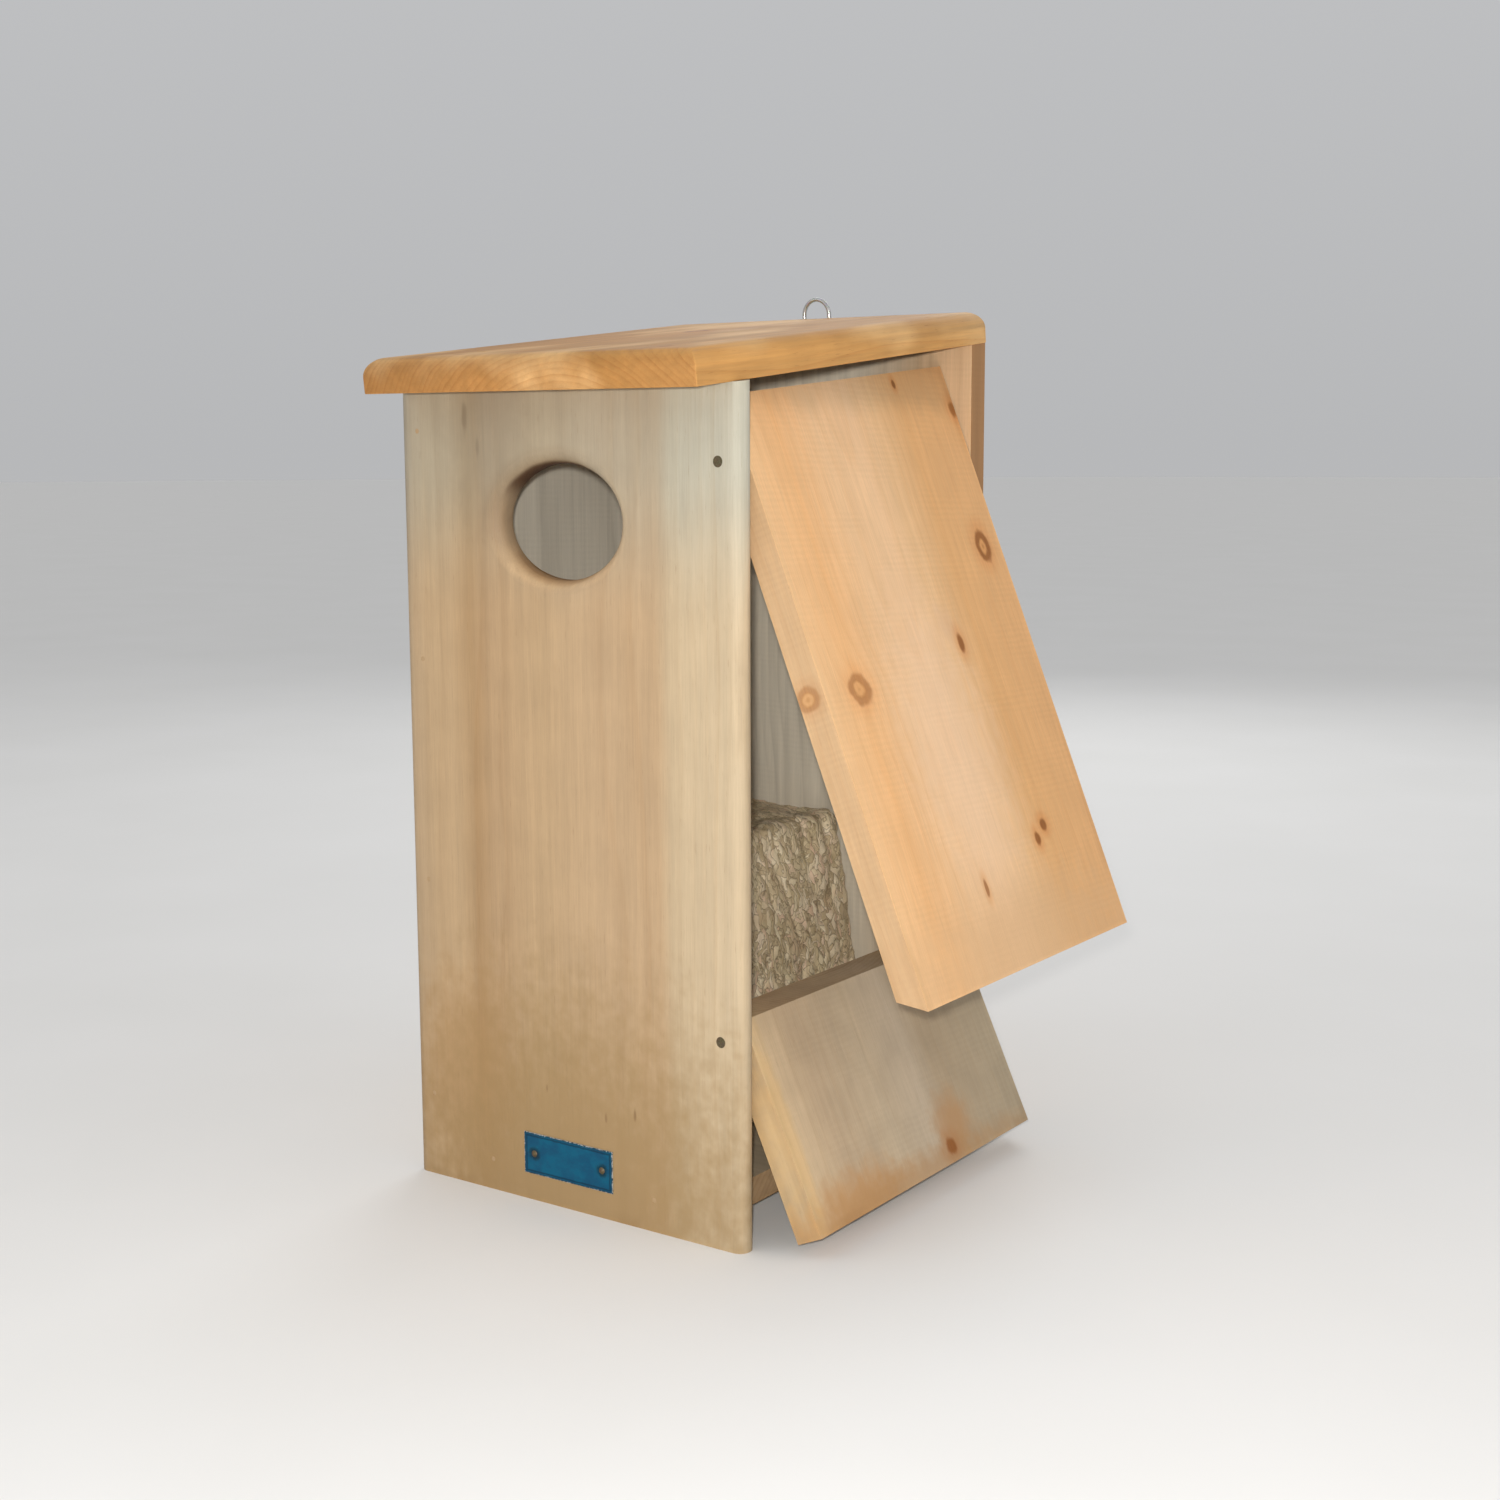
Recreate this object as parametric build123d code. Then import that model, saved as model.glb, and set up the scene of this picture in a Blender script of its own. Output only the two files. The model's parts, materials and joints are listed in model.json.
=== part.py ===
from build123d import *
import math
import os

# Side-opening nest box of plain boards, in millimetres.
# X runs across the front, Y from the front to the back, Z up. The origin is the centre of the
# front panel's bottom end. Both side doors stand open, which is their zero position.

# Boards
front_width = 285.75
front_thickness = 16.0
back_thickness = 20.0
body_width = 272.0
side_depth = 285.75
side_thickness = 20.0
floor_thickness = 19.0
floor_recess = 12.5
eave_height = 555.2
roof_slope = 6.2
roof_thickness = 23.0
roof_width = 275.5
roof_front_overhang = 36.9
roof_back_inset = 1.5
roof_arris_radius = 12.0
edge_roundover = 7.9

# Entrance and drain holes
hole_width = 101.6
hole_height = 76.2
hole_offset = -4.4
hole_centre_drop = 87.8
hole_roundover = 9.5
drain_hole_radius = 4.8
drain_hole_inset = 40.0

# Doors
door_edge_gap = 1.0
door_floor_gap = 1.0
door_top_gap_front = 10.0
door_top_gap_rear = 13.5
door_pivot_drop = 48.1
door_open_angle = 21.8
split_height = 147.2
split_gap = 1.5
split_bevel_rise = 10.5
lower_pivot_drop = 8.0
lower_open_angle = 24.4
lower_ground_gap = 0.5

# Nails, as (shank radius, head radius, head thickness, length)
common_nail = (1.4, 3.1, 1.2, 50.0)
finish_nail = (1.1, 1.7, 1.6, 48.0)
label_pin = (0.9, 2.4, 1.3, 9.0)
pivot_nail = (1.9, 3.6, 1.5, 60.0)
driven_clearance = 0.02
pivot_clearance = 0.08
head_sink = 0.2
rear_roof_nail_sink = 3.0
nail_tip_length = 4.0
label_pin_tip_length = 2.0
nail_end_inset = 60.0
floor_nail_inset = 45.0
roof_rear_nail_setback = 4.3

# Wire ladder inside the front panel
ladder_wire = 1.0
ladder_pitch = 12.7
ladder_columns = 9
ladder_below_hole = 14.0
ladder_above_floor = 6.0
staple_leg_spacing = 5.0
staple_leg_length = 8.0
staple_rows = 4

# Hanger
hanger_offset = -12.5
strap_width = 16.0
strap_thickness = 1.6
strap_below_end = 42.0
eye_above_end = 10.5
ring_wire_radius = 1.6
ring_eye_clearance = 0.1
ring_centre_width = 22.5
ring_bar_bend = 3.5
ring_top_bend = 11.6
ring_height = 28.2
ring_lean = 3.0
screw_radius = 1.6
screw_head_radius = 3.4
screw_head_height = 1.4
screw_length = 14.0
screw_spacing = 20.0
screw_end_inset = 11.0
screw_slot_width = 0.9
screw_slot_depth = 0.7

# Label and filling
label_width = 77.5
label_height = 29.3
label_thickness = 0.8
label_offset = -2.4
label_centre_height = 33.7
label_pin_inset = 9.0
bag_foot_width = 173.0
bag_top_width = 139.0
bag_height = 207.0
bag_depth = 186.0
bag_edge_radius = 10.0
bag_side_clearance = 3.0
bag_back_clearance = 2.5
bag_rest_gap = 0.3

# Places worked out from the sizes above
front_face = -front_thickness / 2
side_front = front_thickness / 2
side_back = side_front + side_depth
rear_face = side_back + back_thickness
body_half = body_width / 2
inner_half = body_half - side_thickness
pivot_x = body_half - side_thickness / 2
hole_centre_height = eave_height - hole_centre_drop
door_pivot_height = eave_height - door_pivot_drop
lower_pivot_height = split_height - lower_pivot_drop
floor_top = floor_recess + floor_thickness
slope_tan = math.tan(math.radians(roof_slope))
roof_up = Vector(0, -math.sin(math.radians(roof_slope)), math.cos(math.radians(roof_slope)))
roof_front = front_face - roof_front_overhang
roof_length = (rear_face - roof_back_inset - roof_front) / math.cos(math.radians(roof_slope))
ladder_front = side_front
ladder_back = side_front + 2 * ladder_wire
end_high = (Align.CENTER, Align.CENTER, Align.MAX)
end_low = (Align.CENTER, Align.CENTER, Align.MIN)


def roof_underside(y):
    """Height of the roof's underside at a depth."""
    return eave_height + (y - front_face) * slope_tan


def outline_along_x(points, x_low, x_high):
    """A board whose outline is drawn in Y and Z and which runs from x_low to x_high."""
    face = make_face(Polyline(*[(x_low, y, z) for y, z in points], close=True))
    return extrude(face, amount=x_high - x_low, dir=(1, 0, 0))


def outline_along_y(points, y_low, y_high):
    """A prism whose outline is drawn in X and Z and which runs from y_low to y_high."""
    face = make_face(Polyline(*[(x, y_low, z) for x, z in points], close=True))
    return extrude(face, amount=y_high - y_low, dir=(0, 1, 0))


def sloped_board(x_low, x_high, y_low, y_high, z_low=0.0):
    """An upright board whose top end is cut to the roof's slope."""
    corners = [(y_low, z_low), (y_high, z_low)]
    corners += [(y_high, roof_underside(y_high)), (y_low, roof_underside(y_low))]
    return outline_along_x(corners, x_low, x_high)


def nail(place, kind, sink=head_sink):
    """One nail. place is the point on the surface and the direction that the nail is driven."""
    shank_radius, head_radius, head_thickness, length = kind
    point, direction = place
    frame = Plane(origin=point, z_dir=Vector(direction).reverse())
    head = Pos(0, 0, -sink) * Cylinder(head_radius, head_thickness, align=end_high)
    shank = Pos(0, 0, -sink) * Cylinder(shank_radius, length - nail_tip_length, align=end_high)
    tip = Cone(0.2, shank_radius, nail_tip_length, align=end_high)
    tip = Pos(0, 0, nail_tip_length - length - sink) * tip
    return frame * (head + shank + tip)


def nail_hole(place, kind, clearance=driven_clearance, sink=head_sink):
    """The hole for one nail, with a flat-bottomed recess for its head."""
    shank_radius, head_radius, head_thickness, length = kind
    point, direction = place
    frame = Plane(origin=point, z_dir=Vector(direction).reverse())
    recess = Cylinder(head_radius + clearance, head_thickness + sink + 1, align=end_high)
    recess = Pos(0, 0, 1) * recess
    bore = Cylinder(shank_radius + clearance, length + sink + clearance, align=end_high)
    return frame * (recess + bore)


def spread(low, high, count):
    """Evenly spaced values from low to high, both included."""
    return [low + (high - low) * index / (count - 1) for index in range(count)]


def opened(shape, height, angle):
    """A door leaf swung outwards about its pivot nails."""
    return shape.rotate(Axis((pivot_x, 0, height), (0, -1, 0)), angle)


# Nail places -------------------------------------------------------------------------------------

floor_nail_height = floor_recess + floor_thickness / 2
side_nail_top = roof_underside(side_front) - nail_end_inset / 2
side_nail_heights = spread(nail_end_inset, side_nail_top, 4)
floor_nail_half = inner_half - floor_nail_inset
front_side_places = [((-pivot_x, front_face, z), (0, 1, 0)) for z in side_nail_heights]
front_floor_places = [
    ((x, front_face, floor_nail_height), (0, 1, 0))
    for x in spread(-floor_nail_half, floor_nail_half, 2)
]
back_side_places = [((-pivot_x, rear_face, z), (0, -1, 0)) for z in side_nail_heights]
back_floor_places = [
    ((x, rear_face, floor_nail_height), (0, -1, 0))
    for x in spread(-floor_nail_half, floor_nail_half, 3)
]
side_floor_places = [
    ((-body_half, y, floor_nail_height), (1, 0, 0))
    for y in spread(side_front + floor_nail_inset, side_back - floor_nail_inset, 3)
]


def roof_place(x, y):
    """A nail place on the roof's top, above the point x, y of its underside."""
    foot = Vector(x, y, roof_underside(y))
    top = foot + roof_up * roof_thickness
    return ((top.X, top.Y, top.Z), (-roof_up.X, -roof_up.Y, -roof_up.Z))


roof_front_places = [roof_place(x, 0) for x in spread(-floor_nail_half, floor_nail_half, 3)]
roof_side_places = [
    roof_place(-pivot_x, y)
    for y in spread(side_front + floor_nail_inset, side_back - floor_nail_inset, 3)
]
roof_back_places = [
    roof_place(x, side_back + roof_rear_nail_setback)
    for x in spread(-floor_nail_half, floor_nail_half, 2)
]
upper_pivot_front = ((pivot_x, front_face, door_pivot_height), (0, 1, 0))
upper_pivot_rear = ((pivot_x, rear_face, door_pivot_height), (0, -1, 0))
lower_pivot_front = ((pivot_x, front_face, lower_pivot_height), (0, 1, 0))
lower_pivot_rear = ((pivot_x, rear_face, lower_pivot_height), (0, -1, 0))

# Fixed boards ------------------------------------------------------------------------------------


def staple_places():
    """Centre of each staple, over the outer wires of the ladder and between its rungs."""
    half = (ladder_columns - 1) / 2 * ladder_pitch
    rung_gaps = spread(1, ladder_rungs() - 2, staple_rows)
    heights = [ladder_bottom() + (math.floor(gap) + 0.5) * ladder_pitch for gap in rung_gaps]
    return [(hole_offset + side * half, z) for z in heights for side in (-1, 1)]


def ladder_bottom():
    """Height of the ladder's lowest rung."""
    return floor_top + ladder_above_floor


def ladder_rungs():
    """How many rungs fit below the entrance hole."""
    top = hole_centre_height - hole_height / 2 - ladder_below_hole
    return int((top - ladder_bottom()) // ladder_pitch) + 1


def staple_leg_holes():
    """Holes in the front panel for the legs of all staples."""
    size = ladder_wire + 2 * driven_clearance
    depth = staple_leg_length + driven_clearance
    leg = Box(size, depth, size, align=(Align.CENTER, Align.MAX, Align.CENTER))
    holes = []
    for x, z in staple_places():
        for side in (-1, 1):
            holes.append(Pos(x + side * staple_leg_spacing / 2, side_front, z) * leg)
    return holes


def make_front_panel():
    """Front panel with rounded long edges, which overhangs both sides, and its oval entrance."""
    panel = sloped_board(-front_width / 2, front_width / 2, front_face, side_front)
    long_edges = panel.edges().filter_by(lambda edge: edge.length > front_width * 1.5)
    panel = fillet(long_edges, edge_roundover)
    hole_centre = (hole_offset, side_front, hole_centre_height)
    hole_plane = Plane(origin=hole_centre, x_dir=(1, 0, 0), z_dir=(0, -1, 0))
    oval = hole_plane * Ellipse(hole_width / 2, hole_height / 2)
    panel -= extrude(oval, amount=front_thickness)
    rim = panel.edges().filter_by(GeomType.ELLIPSE).sort_by(Axis.Y)[0]
    panel = fillet(rim, hole_roundover)
    panel -= [nail_hole(place, finish_nail) for place in front_side_places + front_floor_places]
    panel -= [nail_hole(place, pivot_nail) for place in (upper_pivot_front, lower_pivot_front)]
    panel -= [nail_hole(place, common_nail) for place in roof_front_places]
    panel -= [label_pin_hole(place) for place in label_pin_places()]
    panel -= staple_leg_holes()
    return panel


def make_back_panel():
    """Back panel between the sides' outer faces, cut to the roof's slope."""
    panel = sloped_board(-body_half, body_half, side_back, rear_face)
    panel -= [nail_hole(place, common_nail) for place in back_side_places + back_floor_places]
    panel -= [nail_hole(place, pivot_nail) for place in (upper_pivot_rear, lower_pivot_rear)]
    panel -= [nail_hole(place, common_nail, sink=rear_roof_nail_sink) for place in roof_back_places]
    panel -= [screw_hole(place) for place in screw_places()]
    return panel


def make_left_side_panel():
    """Fixed side board, from the bottom to the roof."""
    panel = sloped_board(-body_half, -inner_half, side_front, side_back)
    panel -= [nail_hole(place, finish_nail) for place in front_side_places]
    for places in (back_side_places, side_floor_places, roof_side_places):
        panel -= [nail_hole(place, common_nail) for place in places]
    return panel


def make_floor_board():
    """Recessed floor with drain holes, between the fixed side and the doors."""
    x_low = -inner_half
    x_high = inner_half - door_floor_gap
    size = (x_high - x_low, side_depth, floor_thickness)
    centre = ((x_low + x_high) / 2, (side_front + side_back) / 2)
    board = Pos(centre[0], centre[1], floor_recess) * Box(*size, align=end_low)
    half_x = size[0] / 2 - drain_hole_inset
    half_y = size[1] / 2 - drain_hole_inset
    drain_places = [(0, 0)] + [(x, y) for x in (-half_x, half_x) for y in (-half_y, half_y)]
    for x, y in drain_places:
        drain = Cylinder(drain_hole_radius, floor_thickness, align=end_low)
        board -= Pos(centre[0] + x, centre[1] + y, floor_recess) * drain
    board -= [nail_hole(place, finish_nail) for place in front_floor_places]
    board -= [nail_hole(place, common_nail) for place in back_floor_places + side_floor_places]
    return board


def make_roof_board():
    """Sloped roof board with rounded upper arrises."""
    frame = Plane(origin=(0, roof_front, roof_underside(roof_front)), x_dir=(1, 0, 0), z_dir=roof_up)
    board = Box(roof_width, roof_length, roof_thickness, align=(Align.CENTER, Align.MIN, Align.MIN))
    top = board.edges().group_by(Axis.Z)[-1]
    board = frame * fillet(top, roof_arris_radius)
    board -= [nail_hole(place, common_nail) for place in roof_front_places + roof_side_places]
    board -= [nail_hole(place, common_nail, sink=rear_roof_nail_sink) for place in roof_back_places]
    return board


# Doors -------------------------------------------------------------------------------------------


def door_depths():
    """Front and rear edge of both door leaves."""
    return side_front + door_edge_gap, side_back - door_edge_gap


def make_upper_door():
    """Upper door leaf with a bevelled bottom end, on two pivot nails near its top."""
    y_low, y_high = door_depths()
    bottom = split_height + split_gap
    top_front = roof_underside(y_low) - door_top_gap_front
    top_rear = roof_underside(y_high) - door_top_gap_rear
    corners = [(y_low, bottom), (y_high, bottom), (y_high, top_rear), (y_low, top_front)]
    leaf = outline_along_x(corners, inner_half, body_half)
    wedge = [(body_half, bottom), (inner_half, bottom), (inner_half, bottom + split_bevel_rise)]
    leaf -= outline_along_y(wedge, y_low, y_high)
    for place in (upper_pivot_front, upper_pivot_rear):
        leaf -= nail_hole(place, pivot_nail, clearance=pivot_clearance)
    return opened(leaf, door_pivot_height, door_open_angle)


def make_lower_door():
    """Lower clean-out leaf; its bevelled top tucks behind the upper leaf when both are shut."""
    y_low, y_high = door_depths()
    corners = [(body_half, lower_ground_gap), (body_half, split_height)]
    corners += [(inner_half, split_height + split_bevel_rise), (inner_half, lower_ground_gap)]
    leaf = outline_along_y(corners, y_low, y_high)
    for place in (lower_pivot_front, lower_pivot_rear):
        leaf -= nail_hole(place, pivot_nail, clearance=pivot_clearance)
    return opened(leaf, lower_pivot_height, lower_open_angle)


# Hanger ------------------------------------------------------------------------------------------

end_height = roof_underside(rear_face)
eye_height = end_height + eye_above_end
eye_radius = ring_wire_radius + ring_eye_clearance + strap_thickness
eye_y = rear_face + eye_radius


def screw_places():
    """Surface point and direction of the strap's screws."""
    top = end_height - screw_end_inset
    y = rear_face + strap_thickness
    return [((hanger_offset, y, z), (0, -1, 0)) for z in (top, top - screw_spacing)]


def screw_hole(place):
    """The bore for one screw of the strap."""
    point, direction = place
    frame = Plane(origin=point, z_dir=Vector(direction).reverse())
    return frame * Cylinder(screw_radius + driven_clearance, screw_length + driven_clearance, align=end_high)


def make_screw(place):
    """One slotted screw of the strap, with its head on the strap."""
    point, direction = place
    frame = Plane(origin=point, z_dir=Vector(direction).reverse())
    head = Cylinder(screw_head_radius, screw_head_height, align=end_low)
    slot = Box(2 * screw_head_radius, screw_slot_width, screw_slot_depth, align=end_high)
    head -= Pos(0, 0, screw_head_height) * slot
    shank = Cylinder(screw_radius, screw_length, align=end_high)
    return frame * (head + shank)


def make_strap():
    """Steel strap on the back panel, folded round the ring's bar above the panel's end."""
    bottom = end_height - strap_below_end
    plate_size = (strap_width, strap_thickness, eye_height - bottom)
    plate = Box(*plate_size, align=(Align.CENTER, Align.MIN, Align.MIN))
    plate = Pos(hanger_offset, rear_face, bottom) * plate
    barrel = Cylinder(eye_radius, strap_width, rotation=(0, 90, 0))
    strap = plate + Pos(hanger_offset, eye_y, eye_height) * barrel
    bore = Cylinder(ring_wire_radius + ring_eye_clearance, strap_width, rotation=(0, 90, 0))
    strap -= Pos(hanger_offset, eye_y, eye_height) * bore
    return strap - [screw_hole(place) for place in screw_places()]


def make_ring():
    """D-shaped wire ring, drawn upright and then leaned towards the roof."""
    half = ring_centre_width / 2
    top = ring_height - ring_wire_radius
    corners = [(-half, 0), (-half, top), (half, top), (half, 0)]
    radii = [ring_bar_bend, ring_top_bend, ring_top_bend, ring_bar_bend]
    path = Plane.XZ * FilletPolyline(*corners, radius=radii, close=True)
    section = Plane(origin=path @ 0, z_dir=path % 0) * Circle(ring_wire_radius)
    ring = sweep(section, path=path)
    ring = ring.rotate(Axis.X, ring_lean)
    return Pos(hanger_offset, eye_y, eye_height) * ring


# Label, ladder and filling -----------------------------------------------------------------------


def make_label():
    """Plain plate on the front panel, under the entrance."""
    plate = Box(label_width, label_thickness, label_height, align=(Align.CENTER, Align.MAX, Align.CENTER))
    plate = Pos(label_offset, front_face, label_centre_height) * plate
    return plate - [label_pin_hole(place) for place in label_pin_places()]


def label_pin_places():
    """Surface point and direction of the two pins through the label."""
    half = label_width / 2 - label_pin_inset
    y = front_face - label_thickness
    return [((label_offset + side * half, y, label_centre_height), (0, 1, 0)) for side in (-1, 1)]


def label_pin_hole(place):
    """The bore for one label pin, through the plate and into the front panel."""
    point, direction = place
    radius, length = label_pin[0] + driven_clearance, label_pin[3] + driven_clearance
    frame = Plane(origin=point, z_dir=Vector(direction).reverse())
    return frame * Cylinder(radius, length, align=end_high)


def make_label_pin(place):
    """One domed pin of the label, with its head on the plate."""
    shank_radius, head_radius, head_height, length = label_pin
    point, direction = place
    dome_radius = (head_radius**2 + head_height**2) / (2 * head_height)
    dome = Pos(0, 0, head_height - dome_radius) * Sphere(dome_radius)
    dome &= Cylinder(2 * head_radius, 2 * head_height, align=end_low)
    shank = Cylinder(shank_radius, length - label_pin_tip_length, align=end_high)
    tip = Cone(0.1, shank_radius, label_pin_tip_length, align=end_high)
    tip = Pos(0, 0, label_pin_tip_length - length) * tip
    return Plane(origin=point, z_dir=Vector(direction).reverse()) * (dome + shank + tip)


def make_ladder():
    """Welded wire mesh that lets ducklings climb to the entrance."""
    rungs = ladder_rungs()
    bottom = ladder_bottom()
    half = (ladder_columns - 1) / 2 * ladder_pitch
    end = ladder_wire
    height = (rungs - 1) * ladder_pitch + 2 * end
    centre_z = bottom + (rungs - 1) * ladder_pitch / 2
    upright = Box(ladder_wire, ladder_wire, height, align=(Align.CENTER, Align.MIN, Align.CENTER))
    rung = Box(2 * half + 2 * end, ladder_wire, ladder_wire, align=(Align.CENTER, Align.MIN, Align.CENTER))
    wires = []
    for column in range(ladder_columns):
        wires.append(Pos(hole_offset - half + column * ladder_pitch, ladder_front, centre_z) * upright)
    for row in range(rungs):
        wires.append(Pos(hole_offset, ladder_front + ladder_wire, bottom + row * ladder_pitch) * rung)
    return wires[0] + wires[1:]


def make_staples():
    """Staples that hold the ladder to the front panel."""
    crown_size = (staple_leg_spacing + ladder_wire, ladder_wire, ladder_wire)
    crown = Box(*crown_size, align=(Align.CENTER, Align.MIN, Align.CENTER))
    crown = Pos(0, ladder_wire, 0) * crown
    leg_size = (ladder_wire, staple_leg_length + ladder_wire, ladder_wire)
    leg = Pos(0, ladder_wire, 0) * Box(*leg_size, align=(Align.CENTER, Align.MAX, Align.CENTER))
    legs = [Pos(side * staple_leg_spacing / 2, 0, 0) * leg for side in (-1, 1)]
    staple = crown + legs
    return Compound([Pos(x, ladder_front, z) * staple for x, z in staple_places()])


def make_bag():
    """Filled bag of wood shavings in the rear corner of the floor, narrower at the top."""
    x_low = bag_side_clearance - inner_half
    z_low = floor_top + bag_rest_gap
    y_high = side_back - bag_back_clearance
    z_high = z_low + bag_height
    outline = [(x_low, z_low), (x_low + bag_foot_width, z_low)]
    outline += [(x_low + bag_top_width, z_high), (x_low, z_high)]
    bag = outline_along_y(outline, y_high - bag_depth, y_high)
    return fillet(bag.edges(), bag_edge_radius)


# Every sub-part ----------------------------------------------------------------------------------


def nail_group(places, kind, sink=head_sink):
    """All nails of one group, as separate solids."""
    return Compound([nail(place, kind, sink) for place in places])


parts = {
    "front_panel": make_front_panel(),
    "back_panel": make_back_panel(),
    "left_side_panel": make_left_side_panel(),
    "floor_board": make_floor_board(),
    "roof_board": make_roof_board(),
    "upper_side_door": make_upper_door(),
    "lower_side_door": make_lower_door(),
    "upper_pivot_nail_front": nail(upper_pivot_front, pivot_nail),
    "upper_pivot_nail_rear": nail(upper_pivot_rear, pivot_nail),
    "lower_pivot_nail_front": nail(lower_pivot_front, pivot_nail),
    "lower_pivot_nail_rear": nail(lower_pivot_rear, pivot_nail),
    "front_side_nails": nail_group(front_side_places, finish_nail),
    "front_floor_nails": nail_group(front_floor_places, finish_nail),
    "back_side_nails": nail_group(back_side_places, common_nail),
    "back_floor_nails": nail_group(back_floor_places, common_nail),
    "side_floor_nails": nail_group(side_floor_places, common_nail),
    "roof_front_nails": nail_group(roof_front_places, common_nail),
    "roof_side_nails": nail_group(roof_side_places, common_nail),
    "roof_back_nails": nail_group(roof_back_places, common_nail, sink=rear_roof_nail_sink),
    "hanger_strap": make_strap(),
    "hanger_ring": make_ring(),
    "hanger_screws": Compound([make_screw(place) for place in screw_places()]),
    "label_plate": make_label(),
    "label_pins": Compound([make_label_pin(place) for place in label_pin_places()]),
    "ladder_mesh": make_ladder(),
    "ladder_staples": make_staples(),
    "shavings_bag": make_bag(),
}

os.makedirs("parts", exist_ok=True)
for name, shape in parts.items():
    export_step(shape, f"parts/{name}.step")
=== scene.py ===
import math

import bpy
import numpy as np
from mathutils import Matrix, Vector, noise
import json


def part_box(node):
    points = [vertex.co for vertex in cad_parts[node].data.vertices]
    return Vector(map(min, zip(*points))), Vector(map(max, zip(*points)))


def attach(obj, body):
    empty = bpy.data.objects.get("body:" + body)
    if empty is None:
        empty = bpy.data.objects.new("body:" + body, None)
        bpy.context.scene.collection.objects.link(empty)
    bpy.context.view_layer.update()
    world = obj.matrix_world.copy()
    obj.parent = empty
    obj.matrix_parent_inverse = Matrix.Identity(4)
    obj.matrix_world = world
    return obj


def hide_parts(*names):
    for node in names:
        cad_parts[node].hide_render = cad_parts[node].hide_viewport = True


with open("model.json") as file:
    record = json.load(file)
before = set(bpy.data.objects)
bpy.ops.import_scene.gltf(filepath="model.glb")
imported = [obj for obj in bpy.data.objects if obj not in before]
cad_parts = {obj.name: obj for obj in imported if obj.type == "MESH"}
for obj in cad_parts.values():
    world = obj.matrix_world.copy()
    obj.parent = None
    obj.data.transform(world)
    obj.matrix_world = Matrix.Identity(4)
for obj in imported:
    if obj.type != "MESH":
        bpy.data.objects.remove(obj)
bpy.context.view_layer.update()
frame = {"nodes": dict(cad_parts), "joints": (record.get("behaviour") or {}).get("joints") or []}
nodes = frame["nodes"]
pivots = {j["child"]: Vector(j["pos_m"]) * 1000 for j in frame["joints"]}

# camera: place in metres, turn in degrees, shift as a share of the picture's width
CAMERA_PLACE = (0.8710, -1.0427, 0.5184)
CAMERA_YAW, CAMERA_PITCH_DOWN, CAMERA_ROLL = -34.94, 8.43, -0.19
CAMERA_LENS_MM = 49.44
CAMERA_SHIFT = (0.0013, -0.0013)

# sizes of the CAD model that the grain follows, in millimetres and degrees
ROOF_SLOPE = 6.2
ROOF_THICKNESS = 23.0
UPPER_DOOR_OPEN = 21.8
LOWER_DOOR_OPEN = 24.4
ENTRANCE = (-4.4, 467.4, 50.8, 38.1)  # centre across and up, half width and half height

SAW_PITCH = 4.4  # mm between two saw marks
PIN_INSET = 9.0  # mm from the label plate's end to its pin
BAG_VOXEL = 0.0036  # m, the remesh of the bag
BAG_LUMP, BAG_FOLD, BAG_CREASE, BAG_CHIP = 1.8, 2.8, 1.4, 0.8  # mm of relief
BAG_REACH = 2.0  # mm, the most that relief stands out
BAG_SLUMP = 0.0018  # m that the bag's top sags by
FLOOR_RADIUS = 30  # m


# ---------------------------------------------------------------- camera, floor and light

def colour(r, g, b):
    """Display colour, 0 to 255, as the linear colour that nodes take."""
    return tuple(((v / 255 + 0.055) / 1.055) ** 2.4 if v > 10 else v / 3294.6 for v in (r, g, b)) + (1.0,)


def make_camera():
    yaw, pitch, roll = (math.radians(a) for a in (CAMERA_YAW, CAMERA_PITCH_DOWN, CAMERA_ROLL))
    ahead = Vector((math.sin(yaw) * math.cos(pitch), math.cos(yaw) * math.cos(pitch), -math.sin(pitch)))
    right = Vector((math.cos(yaw), -math.sin(yaw), 0))
    up = right.cross(ahead)
    right, up = math.cos(roll) * right + math.sin(roll) * up, math.cos(roll) * up - math.sin(roll) * right
    data = bpy.data.cameras.new("photo_camera")
    data.sensor_width = 36
    data.lens = CAMERA_LENS_MM
    data.shift_x, data.shift_y = CAMERA_SHIFT
    data.clip_start = 0.02
    cam = bpy.data.objects.new("photo_camera", data)
    turn = Matrix((right, up, -ahead)).transposed().to_4x4()
    cam.matrix_world = Matrix.Translation(CAMERA_PLACE) @ turn
    bpy.context.scene.collection.objects.link(cam)
    bpy.context.scene.camera = cam
    return cam, right, up, ahead


def area_light(name, place, target, size, power, tint=(1, 1, 1)):
    data = bpy.data.lights.new(name, "AREA")
    data.shape = "DISK"
    data.size = size
    data.energy = power
    data.color = tint
    lamp = bpy.data.objects.new(name, data)
    lamp.location = place
    lamp.rotation_euler = (Vector(target) - Vector(place)).to_track_quat("-Z", "Y").to_euler()
    bpy.context.scene.collection.objects.link(lamp)


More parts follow.
